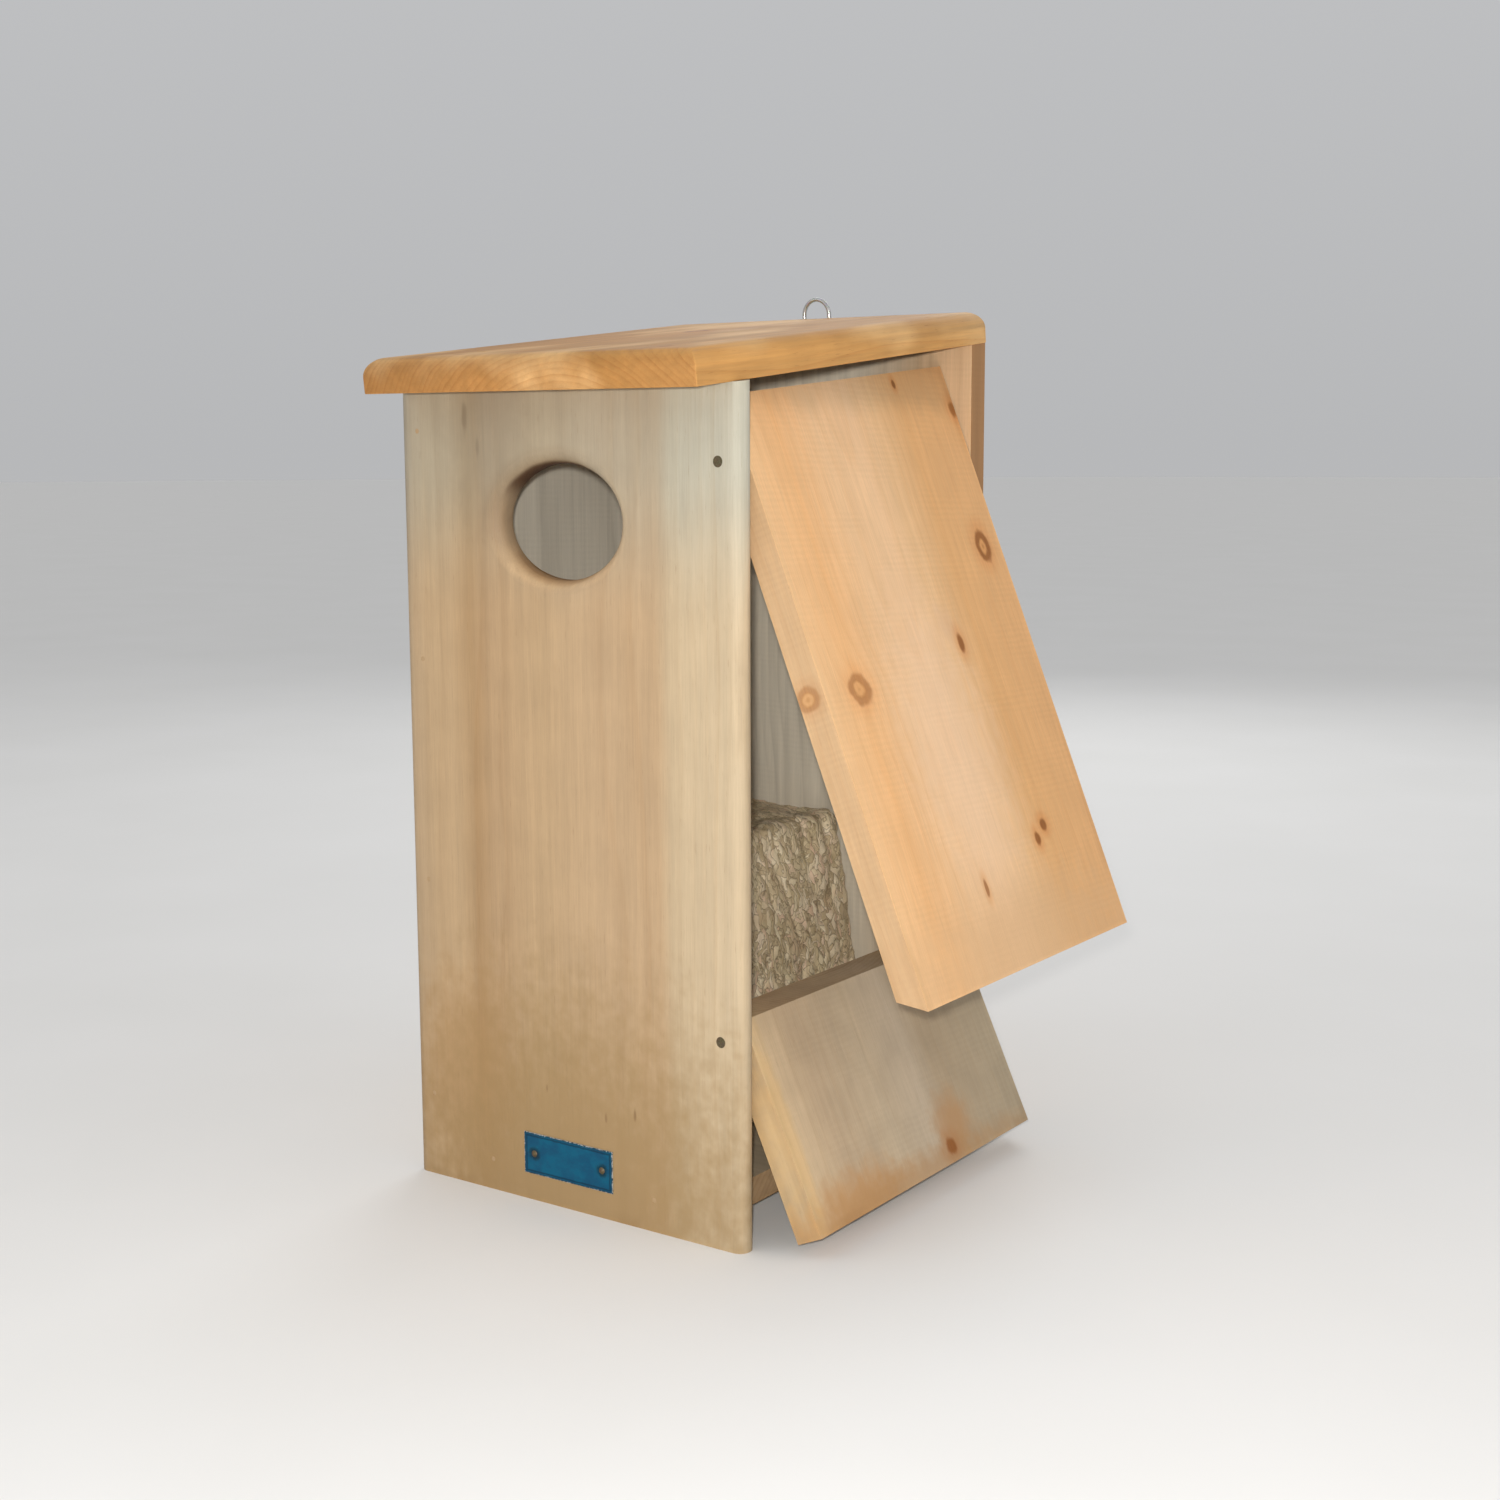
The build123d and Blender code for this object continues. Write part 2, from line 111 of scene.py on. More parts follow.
def make_light(cam, right, up, ahead):
    centre = (0.0, 0.13, 0.30)
    near = cam.location - 0.014 * right + 0.030 * up
    area_light("key_light", near, centre, 0.035, 14, (1.0, 0.985, 0.965))
    area_light("front_softbox", (-1.5, -2.2, 1.9), centre, 1.6, 8)
    area_light("side_softbox", (2.2, 0.6, 1.6), centre, 1.4, 5)
    area_light("back_softbox", (-0.9, 2.3, 1.7), centre, 1.6, 14)
    world = bpy.data.worlds.new("studio")
    world.use_nodes = True
    tree = world.node_tree
    back = tree.nodes["Background"]
    coords = tree.nodes.new("ShaderNodeTexCoord")
    parts = tree.nodes.new("ShaderNodeSeparateXYZ")
    rise = tree.nodes.new("ShaderNodeMapRange")
    rise.inputs["To Min"].default_value = 0.49
    rise.inputs["To Max"].default_value = 0.70
    tree.links.new(coords.outputs["Generated"], parts.inputs[0])
    tree.links.new(parts.outputs["Z"], rise.inputs["Value"])
    tree.links.new(rise.outputs[0], back.inputs["Strength"])
    back.inputs["Color"].default_value = (0.97, 0.98, 1.0, 1)
    bpy.context.scene.world = world
    bpy.context.scene.view_settings.view_transform = "Standard"


# ---------------------------------------------------------------- node materials

class Graph:
    """Short calls for building one material's nodes. Values may be numbers, colours or sockets."""

    def __init__(self, name):
        self.material = bpy.data.materials.new(name)
        self.material.use_nodes = True
        self.tree = self.material.node_tree
        self.tree.nodes.clear()
        self.shader = self.add("ShaderNodeBsdfPrincipled")
        out = self.add("ShaderNodeOutputMaterial")
        self.link(out.inputs["Surface"], self.shader.outputs[0])

    def add(self, kind, **settings):
        node = self.tree.nodes.new(kind)
        for key, value in settings.items():
            setattr(node, key, value)
        return node

    def link(self, socket, value):
        if isinstance(value, bpy.types.NodeSocket):
            self.tree.links.new(value, socket)
        else:
            socket.default_value = value

    def math(self, op, *values, clamp=False):
        node = self.add("ShaderNodeMath", operation=op, use_clamp=clamp)
        for socket, value in zip(node.inputs, values):
            self.link(socket, value)
        return node.outputs[0]

    def vector(self, op, *values):
        node = self.add("ShaderNodeVectorMath", operation=op)
        for socket, value in zip(node.inputs, values):
            self.link(socket, value)
        return node

    def times(self, vector, factors):
        return self.vector("MULTIPLY", vector, factors).outputs[0]

    def join(self, x, y, z):
        node = self.add("ShaderNodeCombineXYZ")
        for socket, value in zip(node.inputs, (x, y, z)):
            self.link(socket, value)
        return node.outputs[0]

    def split(self, vector):
        node = self.add("ShaderNodeSeparateXYZ")
        self.link(node.inputs[0], vector)
        return node.outputs[:]

    def noise(self, vector, detail=2.0, rough=0.5, distortion=0.0, tinted=False):
        node = self.add("ShaderNodeTexNoise")
        self.link(node.inputs["Vector"], vector)
        node.inputs["Scale"].default_value = 1.0
        node.inputs["Detail"].default_value = detail
        node.inputs["Roughness"].default_value = rough
        node.inputs["Distortion"].default_value = distortion
        return node.outputs["Color" if tinted else "Fac"]

    def cells(self, vector, feature="F1"):
        node = self.add("ShaderNodeTexVoronoi", feature=feature)
        self.link(node.inputs["Vector"], vector)
        node.inputs["Scale"].default_value = 1.0
        return node

    def remap(self, value, low, high, out_low=0.0, out_high=1.0, kind="SMOOTHSTEP"):
        node = self.add("ShaderNodeMapRange", interpolation_type=kind)
        for socket, v in zip(node.inputs, (value, low, high, out_low, out_high)):
            self.link(socket, v)
        return node.outputs[0]

    def ramp(self, value, stops):
        node = self.add("ShaderNodeValToRGB")
        self.link(node.inputs[0], value)
        band = node.color_ramp
        while len(band.elements) < len(stops):
            band.elements.new(0.5)
        for element, (place, tint) in zip(band.elements, stops):
            element.position = place
            element.color = tint if hasattr(tint, "__len__") else (tint, tint, tint, 1)
        return node.outputs[0]

    def mix(self, share, a, b, kind="MIX"):
        node = self.add("ShaderNodeMix", data_type="RGBA", blend_type=kind)
        self.link(node.inputs[0], share)
        self.link(node.inputs[6], a)
        self.link(node.inputs[7], b)
        return node.outputs[2]

    def tint(self, base, factors):
        """The base colour multiplied by three factors."""
        return self.mix(1.0, base, tuple(factors) + (1,), "MULTIPLY")

    def hypot(self, u, v):
        return self.math("SQRT", self.math("ADD", self.math("MULTIPLY", u, u), self.math("MULTIPLY", v, v)))

    def oval(self, across, along, centre, half):
        """Both coordinates as shares of an oval's half sizes, and the distance they make."""
        u = self.math("DIVIDE", self.math("SUBTRACT", across, centre[0]), half[0])
        v = self.math("DIVIDE", self.math("SUBTRACT", along, centre[1]), half[1])
        return u, v, self.hypot(u, v)

    def bump(self, height_mm, strength=1.0):
        node = self.add("ShaderNodeBump")
        node.inputs["Strength"].default_value = strength
        node.inputs["Distance"].default_value = 0.001
        self.link(node.inputs["Height"], height_mm)
        self.link(self.shader.inputs["Normal"], node.outputs[0])

    def finish(self, base, rough, metal=0.0, level=0.5):
        self.link(self.shader.inputs["Base Color"], base)
        self.link(self.shader.inputs["Roughness"], rough)
        self.shader.inputs["Metallic"].default_value = metal
        self.shader.inputs["Specular IOR Level"].default_value = level
        return self.material


def object_mm(g):
    """The point on the part, in millimetres."""
    coords = g.add("ShaderNodeTexCoord")
    node = g.vector("SCALE", coords.outputs["Object"])
    node.inputs["Scale"].default_value = 1000.0
    return node.outputs[0], coords.outputs["Normal"]


AXES = {"x": 0, "y": 1, "z": 2}


def board_box(name, order, angle, pivot):
    """Lowest and highest corner of a board along its own axes, in millimetres."""
    points = np.array([v.co for v in nodes[name].data.vertices]) * 1000
    if angle:
        turn = Matrix.Rotation(math.radians(angle), 3, "Y")
        points = (points - np.array(pivot)) @ np.array(turn).T + np.array(pivot)
    points = points[:, [AXES[a] for a in order]]
    return points.min(0), points.max(0)


def knot_field(g, across, along, wave, knots):
    """Sums what a board's knots do: push on the growth rings, warm halo, dark rim and pale heart."""
    push, halo, dark, heart = 0.0, 0.0, 0.0, 0.0
    for t, l, radius, stretch, strength, ringed in knots:
        _, _, d = g.oval(across, along, (t, l), (radius, radius * stretch))
        d = g.math("ADD", d, g.math("MULTIPLY", wave, 0.6))
        bulge = g.math("EXPONENT", g.math("MULTIPLY", g.math("MULTIPLY", d, d), -0.22))
        push = g.math("ADD", push, g.math("MULTIPLY", bulge, 0.55 * radius))
        glow = g.math("MULTIPLY", g.remap(d, 0.7, 2.6, 1.0, 0.0), strength)
        halo = g.math("MAXIMUM", halo, glow)
        if ringed:
            rim = g.math("MULTIPLY", g.remap(d, 0.34, 0.66), g.remap(d, 0.92, 1.32, 1.0, 0.0))
            eye = g.remap(d, 0.0, 0.24, 0.5, 0.0)
            rim = g.math("MAXIMUM", rim, eye)
            heart = g.math("MAXIMUM", heart, g.remap(d, 0.5, 0.8, 1.0, 0.0))
        else:
            rim = g.remap(d, 0.55, 1.1, 1.0, 0.0)
        dark = g.math("MAXIMUM", dark, g.math("MULTIPLY", rim, strength))
    return push, halo, dark, heart


def shaded_throat(g, base, across, along, fine, hole):
    """Wall and rim of the entrance: painted shade above and to the left, where the rounded rim faces down,
    and a painted highlight on the rim below and to the left.
    """
    u, v, d = g.oval(across, along, hole[:2], hole[2:])
    d = g.math("ADD", d, g.math("MULTIPLY", fine, 0.06))
    shade_band = g.remap(d, 1.01, 1.07, 1.0, 0.0)
    side = g.math("SUBTRACT", g.math("MULTIPLY", v, 0.8), g.math("MULTIPLY", u, 0.6))
    # brown above and to the left of the rim: painted shade where the rounded rim faces down and away from the
    # light
    glow = g.math("MULTIPLY", g.remap(d, 1.0, 1.38, 1.0, 0.0), g.remap(side, -0.1, 1.0))
    base = g.mix(g.math("MULTIPLY", glow, 0.5), base, g.tint(base, (0.60, 0.46, 0.32)))
    # pale rim below and to the left: painted highlight where the rounded rim faces the light
    pale = g.math("MULTIPLY", g.remap(d, 1.10, 1.22, 1.0, 0.0), g.remap(side, 0.35, -0.2))
    base = g.mix(g.math("MULTIPLY", pale, 0.8), base, g.tint(base, (1.24, 1.22, 1.18)))
    # dark top of the throat: painted shade
    top_shade = g.mix(g.remap(v, 0.30, 0.75), base, colour(62, 34, 14))
    return g.mix(g.math("MULTIPLY", shade_band, 0.85), base, top_shade)


def wood(name, order, tones, ring, pith, spacing=4.2, contrast=0.5, wander=9.0, knots=(), edge_knots=(),
         stains_and_painted_light=(), angle=0.0, pivot=(0, 0, 0), slope=0.0, inner=None, inner_fade=None, inner_half=None,
         roof_shade_and_greying=None, patch=None, hole=None, saw=0.0, seed=0.0, speck=0.35, streaky=1.0, blotch=0.0,
         gain=(1, 1, 1), edge=(1, 1, 1), end=(0.78, 0.68, 0.58), end_rings=0.5):
    """Sawn board with growth rings about a pith outside it. Places are in millimetres.

    order     axes across the face, through the board and along the grain
    tones     (place across, colour) over the face; ring is what late wood multiplies by
    knots     (across, along, radius, stretch, strength, ringed); edge_knots the same on the side faces
    stains    (across, along, half width, half height, colour, strength): real stain marks, and on some boards painted light and shade
    angle     turn about the pivot that lays an open door's board square to its own axes
    inner     (side, colour, strength) of the greyed inner face, faded across by inner_fade
              and kept within inner_half of the middle
    roof_shade_and_greying  (start, stop, factors, strength) of the painted shade under the roof, with some
    weathered greying, along the grain gain, edge and end multiply the whole board, its side faces and its end
    grain
    """
    g = Graph(name + "_wood")
    place, normal = object_mm(g)
    if angle:
        node = g.add("ShaderNodeVectorRotate", rotation_type="Y_AXIS")
        g.link(node.inputs["Vector"], place)
        node.inputs["Center"].default_value = tuple(pivot)
        node.inputs["Angle"].default_value = math.radians(angle)
        place = node.outputs[0]
        node = g.add("ShaderNodeVectorRotate", rotation_type="Y_AXIS")
        g.link(node.inputs["Vector"], normal)
        node.inputs["Angle"].default_value = math.radians(angle)
        normal = node.outputs[0]
    low, high = board_box(name, order, angle, pivot)
    middle, half = (low + high) / 2, (high - low) / 2
    parts, facing = g.split(place), g.split(normal)
    across, through, along = (parts[AXES[a]] for a in order)
    facing = [facing[AXES[a]] for a in order]
    if slope:
        through = g.math("SUBTRACT", through, g.math("MULTIPLY", along, math.tan(math.radians(slope))))
    own = g.join(g.math("ADD", across, 37.0 * seed), g.math("ADD", through, 61.0 * seed), along)

    # slow wander of the grain, then finer waver
    slow = g.math("SUBTRACT", g.noise(g.times(own, (0.006, 0.006, 0.0022)), 2.0), 0.5)
    fine = g.math("SUBTRACT", g.noise(g.times(own, (0.045, 0.045, 0.011)), 3.0), 0.5)
    wave = g.math("SUBTRACT", g.noise(g.times(own, (0.12, 0.12, 0.10)), 2.0), 0.5)
    push, halo, dark, heart = knot_field(g, across, along, wave, knots)
    side_face = g.remap(g.math("ABSOLUTE", facing[0]), 0.5, 0.85)
    if edge_knots:
        _, side_halo, side_dark, side_heart = knot_field(g, through, along, wave, edge_knots)
        halo = g.math("MAXIMUM", halo, g.math("MULTIPLY", side_halo, side_face))
        dark = g.math("MAXIMUM", dark, g.math("MULTIPLY", side_dark, side_face))
        heart = g.math("MAXIMUM", heart, g.math("MULTIPLY", side_heart, side_face))

    off_t = g.math("SUBTRACT", across, pith[0])
    off_n = g.math("SUBTRACT", through, pith[1])
    radius = g.hypot(off_t, off_n)
    radius = g.math("ADD", radius, g.math("MULTIPLY", slow, 4.0 * wander))
    radius = g.math("ADD", radius, g.math("MULTIPLY", fine, 3.0))
    radius = g.math("ADD", radius, push)
    uneven = g.noise(g.join(g.math("MULTIPLY", radius, 0.035), 5.0 * seed + 1.7, 0.0), 1.0)
    count = g.math("ADD", g.math("DIVIDE", radius, spacing), g.math("MULTIPLY", uneven, 3.5))
    share = g.math("FRACT", count)
    late = g.ramp(share, [(0.0, 0.25), (0.10, 0.0), (0.48, 0.10), (0.80, 0.62), (0.93, 1.0), (0.985, 0.5)])
    year = g.add("ShaderNodeTexWhiteNoise", noise_dimensions="1D")
    g.link(year.inputs["W"], g.math("ADD", g.math("FLOOR", count), 13.0 * seed))
    late = g.math("MULTIPLY", late, g.remap(year.outputs["Value"], 0.0, 1.0, 0.35, 1.0, "LINEAR"))

    # fibres, short dark pores and broad patches
    fibre = g.noise(g.times(own, (0.85, 0.85, 0.022)), 4.0, 0.62)
    hair = g.noise(g.times(own, (2.6, 2.6, 0.07)), 3.0, 0.6)
    streak = g.noise(g.times(own, (0.16, 0.16, 0.0045)), 3.0, 0.55)
    pore = g.remap(g.noise(g.times(own, (1.9, 1.9, 0.085)), 2.0, 0.5), 0.66, 0.76)
    broad = g.noise(g.times(own, (0.013, 0.013, 0.0065)), 2.0, 0.5)

    stray = g.math("ADD", g.math("MULTIPLY", slow, 26.0), g.math("MULTIPLY", fine, 9.0))
    spread = g.math("ADD", across, stray)
    stops = [((t - low[0]) / (high[0] - low[0]), colour(*c)) for t, c in tones]
    base = g.ramp(g.remap(spread, float(low[0]), float(high[0]), kind="LINEAR"), stops)
    base = g.tint(base, gain)
    base = g.mix(side_face, base, g.tint(base, edge))
    if patch:
        base = g.mix(g.remap(broad, 0.48, 0.66, 0.0, 0.75), base, colour(*patch))
    base = g.mix(g.math("MULTIPLY", late, contrast), base, g.tint(base, ring))
    lift = g.remap(streak, 0.28, 0.72, 1 - 0.10 * streaky, 1 + 0.075 * streaky, "LINEAR")
    lift = g.math("MULTIPLY", lift, g.remap(fibre, 0.25, 0.75, 0.92, 1.06, "LINEAR"))
    lift = g.math("MULTIPLY", lift, g.remap(hair, 0.25, 0.75, 0.965, 1.03, "LINEAR"))
    if blotch:
        cloud = g.noise(g.times(own, (0.034, 0.034, 0.030)), 3.0, 0.55)
        lift = g.math("MULTIPLY", lift, g.remap(cloud, 0.32, 0.68, 1 - blotch, 1 + blotch, "LINEAR"))
    kerf = None
    if saw:
        bent = g.math("ADD", along, g.math("MULTIPLY", across, 0.035))
        bent = g.math("ADD", bent, g.math("MULTIPLY", wave, 3.0))
        kerf = g.math("SINE", g.math("MULTIPLY", bent, 2 * math.pi / SAW_PITCH))
        uneven_saw = g.noise(g.times(own, (0.02, 0.02, 0.05)), 2.0)
        kerf = g.math("MULTIPLY", kerf, g.remap(uneven_saw, 0.35, 0.65))
        lift = g.math("ADD", lift, g.math("MULTIPLY", kerf, 0.020 * saw))
    base = g.mix(1.0, base, g.join(lift, lift, lift), "MULTIPLY")
    base = g.mix(g.math("MULTIPLY", pore, speck), base, g.tint(base, (0.55, 0.43, 0.32)))

    # oval patches: real stain marks, and on the front panel and lower door painted light and shade as well
    for t, l, wide, tall, tint, strength in stains_and_painted_light:
        _, _, d = g.oval(across, along, (t, l), (wide, tall))
        d = g.math("ADD", d, g.math("MULTIPLY", wave, 0.7))
        base = g.mix(g.remap(d, 0.25, 1.15, strength, 0.0), base, colour(*tint))

    # knots: orange halo, brown rim, pale heart
    base = g.mix(g.math("MULTIPLY", halo, 0.55), base, g.tint(base, (0.88, 0.62, 0.38)))
    base = g.mix(g.math("MULTIPLY", heart, 0.35), base, colour(196, 140, 76))
    base = g.mix(g.math("MULTIPLY", dark, 0.92), base, g.mix(fibre, colour(108, 56, 12), colour(160, 98, 32)))

    if inner:
        sign, tint, strength = inner
        face = g.remap(g.math("MULTIPLY", facing[1], sign), 0.5, 0.9)
        shade = g.math("MULTIPLY", lift, g.remap(late, 0.0, 1.0, 1.0, 0.80, "LINEAR"))
        grey = g.mix(1.0, colour(*tint), g.join(shade, shade, shade), "MULTIPLY")
        grey = g.mix(g.math("MULTIPLY", dark, 0.7), grey, colour(84, 62, 42))
        if inner_half:
            inside = g.remap(g.math("ABSOLUTE", across), inner_half - 3, inner_half, 1.0, 0.0)
            face = g.math("MULTIPLY", face, inside)
        if inner_fade:
            face = g.math("MULTIPLY", face, g.remap(across, *inner_fade))
        base = g.mix(g.math("MULTIPLY", face, strength), base, grey)
    # painted shade under the roof along the top of the board, with some weathered greying
    if roof_shade_and_greying:
        start, stop, tint, strength = roof_shade_and_greying
        share = g.remap(g.math("ADD", along, g.math("MULTIPLY", fine, 30.0)), start, stop)
        base = g.mix(g.math("MULTIPLY", share, strength), base, g.tint(base, tint))

    # end grain drinks light; arrises are paler, partly worn and partly a painted highlight, and soiled in
    # places
    ends = g.remap(g.math("ABSOLUTE", facing[2]), 0.55, 0.9)
    base = g.mix(g.math("MULTIPLY", ends, 0.75), base, g.tint(base, end))
    base = g.mix(g.math("MULTIPLY", g.math("MULTIPLY", ends, late), end_rings), base,
                 g.tint(base, (0.66, 0.52, 0.38)))
    gaps = []
    for value, centre, reach in zip((across, through, along), middle, half):
        if slope and value is through:
            centre = middle[1] - middle[2] * math.tan(math.radians(slope))
            reach = ROOF_THICKNESS / 2 / math.cos(math.radians(slope))
        gap = g.math("SUBTRACT", float(reach), g.math("ABSOLUTE", g.math("SUBTRACT", value, float(centre))))
        gaps.append(gap)
    least = g.math("MINIMUM", gaps[0], g.math("MINIMUM", gaps[1], gaps[2]))
    most = g.math("MAXIMUM", gaps[0], g.math("MAXIMUM", gaps[1], gaps[2]))
    total = g.math("ADD", g.math("ADD", *gaps[:2]), gaps[2])
    second = g.math("SUBTRACT", g.math("SUBTRACT", total, least), most)
    second = g.math("ADD", second, g.math("MULTIPLY", wave, 3.0))
    # paler arrises: painted highlight along the edges, with worn wood
    arris_wear_and_highlight = g.remap(second, 0.4, 3.0, 1.0, 0.0)
    base = g.mix(g.math("MULTIPLY", arris_wear_and_highlight, 0.30), base, g.tint(base, (1.22, 1.20, 1.16)))
    soil = g.math("MULTIPLY", g.remap(second, 0.5, 9.0, 1.0, 0.0), g.remap(broad, 0.52, 0.62))
    base = g.mix(g.math("MULTIPLY", soil, 0.35), base, g.tint(base, (0.72, 0.66, 0.58)))

    if hole:
        base = shaded_throat(g, base, across, along, fine, hole)

    rough = g.remap(fibre, 0.2, 0.8, 0.56, 0.74, "LINEAR")
    rough = g.math("SUBTRACT", rough, g.math("MULTIPLY", late, 0.07))
    rough = g.math("SUBTRACT", rough, g.math("MULTIPLY", dark, 0.06))
    rough = g.math("ADD", rough, g.math("MULTIPLY", ends, 0.12), clamp=True)

    height = g.math("MULTIPLY", fibre, 0.16)
    height = g.math("ADD", height, g.math("MULTIPLY", hair, 0.05))
    height = g.math("ADD", height, g.math("MULTIPLY", late, 0.035))
    height = g.math("SUBTRACT", height, g.math("MULTIPLY", pore, 0.05))
    height = g.math("ADD", height, g.math("MULTIPLY", dark, 0.12))
    height = g.math("ADD", height, g.math("MULTIPLY", streak, 0.25))
    if kerf is not None:
        height = g.math("ADD", height, g.math("MULTIPLY", kerf, 0.03 * saw))
    g.bump(height, 0.85)
    return g.finish(base, rough, level=0.32)


def steel(name, bright, dull, rust, rust_share, rough, scale=0.9):
    """Metal wire, nail or strap with zinc spangle, dull smears and rust freckles."""
    g = Graph(name)
    place, _ = object_mm(g)
    smear = g.noise(g.times(place, (scale, scale, scale * 0.6)), 4.0, 0.6)
    spangle = g.cells(g.times(place, (0.8, 0.8, 0.8))).outputs["Color"]
    freckle = g.remap(g.noise(g.times(place, (1.6, 1.6, 1.6)), 4.0, 0.65), 0.62 - 0.3 * rust_share, 0.74)
    base = g.mix(smear, colour(*bright), colour(*dull))
    base = g.mix(0.10, base, spangle, "OVERLAY")
    base = g.mix(g.math("MULTIPLY", freckle, min(1.0, 0.35 + rust_share)), base, colour(*rust))
    worn = g.math("ADD", g.remap(smear, 0.2, 0.8, rough - 0.1, rough + 0.12, "LINEAR"),
                  g.math("MULTIPLY", freckle, 0.25), clamp=True)
    g.bump(g.math("ADD", g.math("MULTIPLY", smear, 0.06), g.math("MULTIPLY", freckle, 0.05)), 0.6)
    g.link(g.shader.inputs["Metallic"], g.math("SUBTRACT", 0.92, g.math("MULTIPLY", freckle, 0.7)))
    g.link(g.shader.inputs["Base Color"], base)
    g.link(g.shader.inputs["Roughness"], worn)
    return g.material


def putty_look():
    """Filler over the sunk finish nails, close to the board's own colour."""
    g = Graph("nail_filler")
    place, _ = object_mm(g)
    cloud = g.noise(g.times(place, (0.8, 0.8, 0.8)), 3.0)
    g.bump(g.math("MULTIPLY", cloud, 0.1), 0.6)
    base = g.mix(cloud, colour(158, 130, 96), colour(178, 150, 114))
    return g.finish(base, g.remap(cloud, 0.3, 0.7, 0.62, 0.74, "LINEAR"), level=0.3)


def label_paint():
    """Blue enamel on a small metal plate, darker towards its worn edges."""
    g = Graph("label_enamel")
    place, normal = object_mm(g)
    low, high = (v * 1000 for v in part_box("label_plate"))
    x, y, z = g.split(place)
    wave = g.math("SUBTRACT", g.noise(g.times(place, (0.30, 0.30, 0.30)), 3.0), 0.5)
    middle, half = (low + high) / 2, (high - low) / 2
    gap_x = g.math("SUBTRACT", half.x, g.math("ABSOLUTE", g.math("SUBTRACT", x, middle.x)))
    gap_z = g.math("SUBTRACT", half.z, g.math("ABSOLUTE", g.math("SUBTRACT", z, middle.z)))
    gap = g.math("ADD", g.math("MINIMUM", gap_x, gap_z), g.math("MULTIPLY", wave, 1.2))
    cloud = g.noise(g.times(place, (0.09, 0.09, 0.12)), 3.0, 0.55)
    base = g.mix(g.remap(cloud, 0.35, 0.65), colour(0, 70, 100), colour(0, 84, 112))
    border = g.math("MULTIPLY", g.remap(gap, 1.2, 1.9), g.remap(gap, 2.4, 3.0, 1.0, 0.0))
    base = g.mix(g.math("MULTIPLY", border, 0.7), base, colour(0, 34, 54))
    base = g.mix(g.remap(gap, 0.2, 1.6, 0.8, 0.0), base, colour(6, 44, 56))
    scratch = g.remap(g.noise(g.times(place, (0.12, 1.0, 2.4)), 3.0, 0.6), 0.67, 0.72)
    flake = g.math("MULTIPLY", g.noise(g.times(place, (0.9, 0.9, 0.9)), 3.0), -3.2)
    chips = g.remap(g.math("ADD", gap, flake), -1.6, -1.3, 1.0, 0.0)
    base = g.mix(g.math("MULTIPLY", scratch, 0.12), base, colour(60, 130, 160))
    base = g.mix(g.math("MULTIPLY", chips, 0.9), base, colour(168, 170, 168))
    for pin_x in (low.x + PIN_INSET, high.x - PIN_INSET):
        off = g.join(g.math("SUBTRACT", x, pin_x), 0.0, g.math("SUBTRACT", z, middle.z))
        spot = g.vector("LENGTH", off).outputs["Value"]
        smear = g.remap(g.math("ADD", spot, g.math("MULTIPLY", wave, 5.0)), 2.6, 6.0, 0.75, 0.0)
        base = g.mix(smear, base, colour(4, 34, 40))
    rough = g.math("ADD", g.remap(cloud, 0.3, 0.7, 0.42, 0.56, "LINEAR"), g.math("MULTIPLY", chips, 0.15))
    fine = g.noise(g.times(place, (0.6, 0.6, 0.6)), 3.0)
    g.bump(g.math("SUBTRACT", g.math("MULTIPLY", fine, 0.05), g.math("MULTIPLY", chips, 0.06)), 0.7)
    return g.finish(base, rough, level=0.2)


